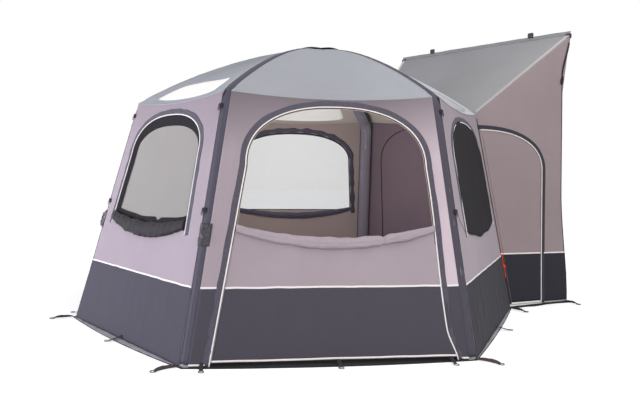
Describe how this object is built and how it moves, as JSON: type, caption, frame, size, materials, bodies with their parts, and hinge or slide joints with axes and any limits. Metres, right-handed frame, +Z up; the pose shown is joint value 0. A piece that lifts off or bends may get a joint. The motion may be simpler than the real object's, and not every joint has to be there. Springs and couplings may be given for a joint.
{
  "type": "caravan awning",
  "caption": "Inflatable six-sided caravan awning on curved air beams, with arched doors and windows and a short tunnel that climbs to the caravan's rail.",
  "frame": {"origin": "middle of the six-sided floor, on the underside of the groundsheet", "axes": "+Z up, +Y towards the caravan along the tunnel, +X to the right for someone who faces the caravan"},
  "size_m": [4.352, 4.4215, 2.7229],
  "materials": {
    "wall_fabric": "matt woven polyester",
    "roof_fabric": "matt coated polyester",
    "beam_fabric": "heavy coated fabric",
    "bladder": "smooth thermoplastic film",
    "skylight_film": "tinted clear film",
    "window_film": "tinted clear film",
    "cover_fabric": "matt woven polyester",
    "valve_plastic": "moulded plastic",
    "slider_plastic": "moulded plastic",
    "webbing": "woven webbing",
    "ground_fabric": "coated groundsheet",
    "guyline_fabric": "braided cord",
    "runner_plastic": "moulded plastic"
  },
  "bodies": {
    "awning": {"air_frame": "bladder", "beam_sleeve_front_left": "beam_fabric", "beam_sleeve_front_right": "beam_fabric", "beam_sleeve_left": "beam_fabric", "beam_sleeve_rear_left": "beam_fabric", "beam_sleeve_rear_right": "beam_fabric", "beam_sleeve_right": "beam_fabric", "crown_cap": "roof_fabric", "groundsheet": "ground_fabric", "guyline_cord": "guyline_fabric", "peg_strap_front_left": "webbing", "peg_strap_front_right": "webbing", "peg_strap_left": "webbing", "peg_strap_rear_left": "webbing", "peg_strap_rear_right": "webbing", "peg_strap_right": "webbing", "peg_strap_tunnel_left": "webbing", "peg_strap_tunnel_right": "webbing", "rail_strip": "webbing", "roof_front": "roof_fabric", "roof_inner": "roof_fabric", "roof_left_front": "roof_fabric", "roof_left_rear": "roof_fabric", "roof_right_front": "roof_fabric", "roof_right_rear": "roof_fabric", "skylight_front": "skylight_film", "skylight_left_rear": "skylight_film", "skylight_right_rear": "skylight_film", "tunnel_roof": "roof_fabric", "tunnel_side_left": "wall_fabric", "tunnel_side_right": "wall_fabric", "valve_front_left": "valve_plastic", "valve_front_right": "valve_plastic", "wall_front": "wall_fabric", "wall_inner": "wall_fabric", "wall_left_front": "wall_fabric", "wall_left_rear": "wall_fabric", "wall_right_front": "wall_fabric", "wall_right_rear": "wall_fabric", "window_cover_front": "cover_fabric", "window_cover_left_rear": "cover_fabric", "window_cover_right_rear": "cover_fabric", "window_front": "window_film", "window_left_rear": "window_film", "window_right_rear": "window_film"},
    "right_door": {"right_door_leaf": "wall_fabric", "right_door_roll": "wall_fabric"},
    "right_door_slider": {"right_door_slider": "slider_plastic"},
    "left_door": {"left_door_leaf": "wall_fabric"},
    "left_door_slider": {"left_door_slider": "slider_plastic"},
    "inner_door": {"inner_door_leaf": "wall_fabric"},
    "tunnel_door_right": {"tunnel_door_right_leaf": "wall_fabric"},
    "tunnel_door_right_slider": {"tunnel_door_right_slider": "slider_plastic"},
    "tunnel_door_left": {"tunnel_door_left_leaf": "wall_fabric"},
    "tunnel_door_left_slider": {"tunnel_door_left_slider": "slider_plastic"},
    "valve_cover_right": {"valve_cover_front_right": "cover_fabric"},
    "valve_cover_left": {"valve_cover_front_left": "cover_fabric"},
    "guyline_runner": {"guyline_runner": "runner_plastic"}
  },
  "joints": [
    {"name": "right_door_hinge", "type": "hinge", "parent": "awning", "child": "right_door", "pos_m": [1.91749, -0.16755, 0.00046], "axis": [-0.256, 0.0174, 0.9665], "range_deg": [0, 110]},
    {"name": "right_door_zip", "type": "slide", "parent": "awning", "child": "right_door_slider", "axis": [-0.1027, 0.2668, 0.9583], "range_m": [0, 1.15]},
    {"name": "left_door_hinge", "type": "hinge", "parent": "awning", "child": "left_door", "pos_m": [-1.91749, -0.16755, 0.00046], "axis": [-0.256, -0.0174, -0.9665], "range_deg": [0, 110]},
    {"name": "left_door_zip", "type": "slide", "parent": "awning", "child": "left_door_slider", "axis": [0.1027, 0.2668, 0.9583], "range_m": [0, 1.15]},
    {"name": "inner_door_hinge", "type": "hinge", "parent": "awning", "child": "inner_door", "pos_m": [-0.68, 1.72898, 0.00025], "axis": [0.0665, -0.1248, 0.9899], "range_deg": [0, 30]},
    {"name": "tunnel_door_right_hinge", "type": "hinge", "parent": "awning", "child": "tunnel_door_right", "pos_m": [1.03234, 1.74224, 0.04295], "axis": [0.1501, 0.1248, -0.9808], "range_deg": [0, 75]},
    {"name": "tunnel_door_right_zip", "type": "slide", "parent": "awning", "child": "tunnel_door_right_slider", "axis": [-0.041, 0.0263, 0.9988], "range_m": [0, 1]},
    {"name": "tunnel_door_left_hinge", "type": "hinge", "parent": "awning", "child": "tunnel_door_left", "pos_m": [-1.03234, 1.74224, 0.04295], "axis": [0.1501, -0.1248, 0.9808], "range_deg": [0, 75]},
    {"name": "tunnel_door_left_zip", "type": "slide", "parent": "awning", "child": "tunnel_door_left_slider", "axis": [0.041, 0.0263, 0.9988], "range_m": [0, 1]},
    {"name": "valve_cover_right_hinge", "type": "hinge", "parent": "awning", "child": "valve_cover_right", "pos_m": [0.83699, -1.51433, 0.92384], "axis": [-0.8724, -0.4886, 0.0126], "range_deg": [0, 100]},
    {"name": "valve_cover_left_hinge", "type": "hinge", "parent": "awning", "child": "valve_cover_left", "pos_m": [-0.83699, -1.51433, 0.92384], "axis": [-0.8724, 0.4886, -0.0126], "range_deg": [0, 100]},
    {"name": "guyline_runner_slide", "type": "slide", "parent": "awning", "child": "guyline_runner", "axis": [0.1539, 0.1236, -0.9803], "range_m": [-0.08, 0.07]}
  ]
}
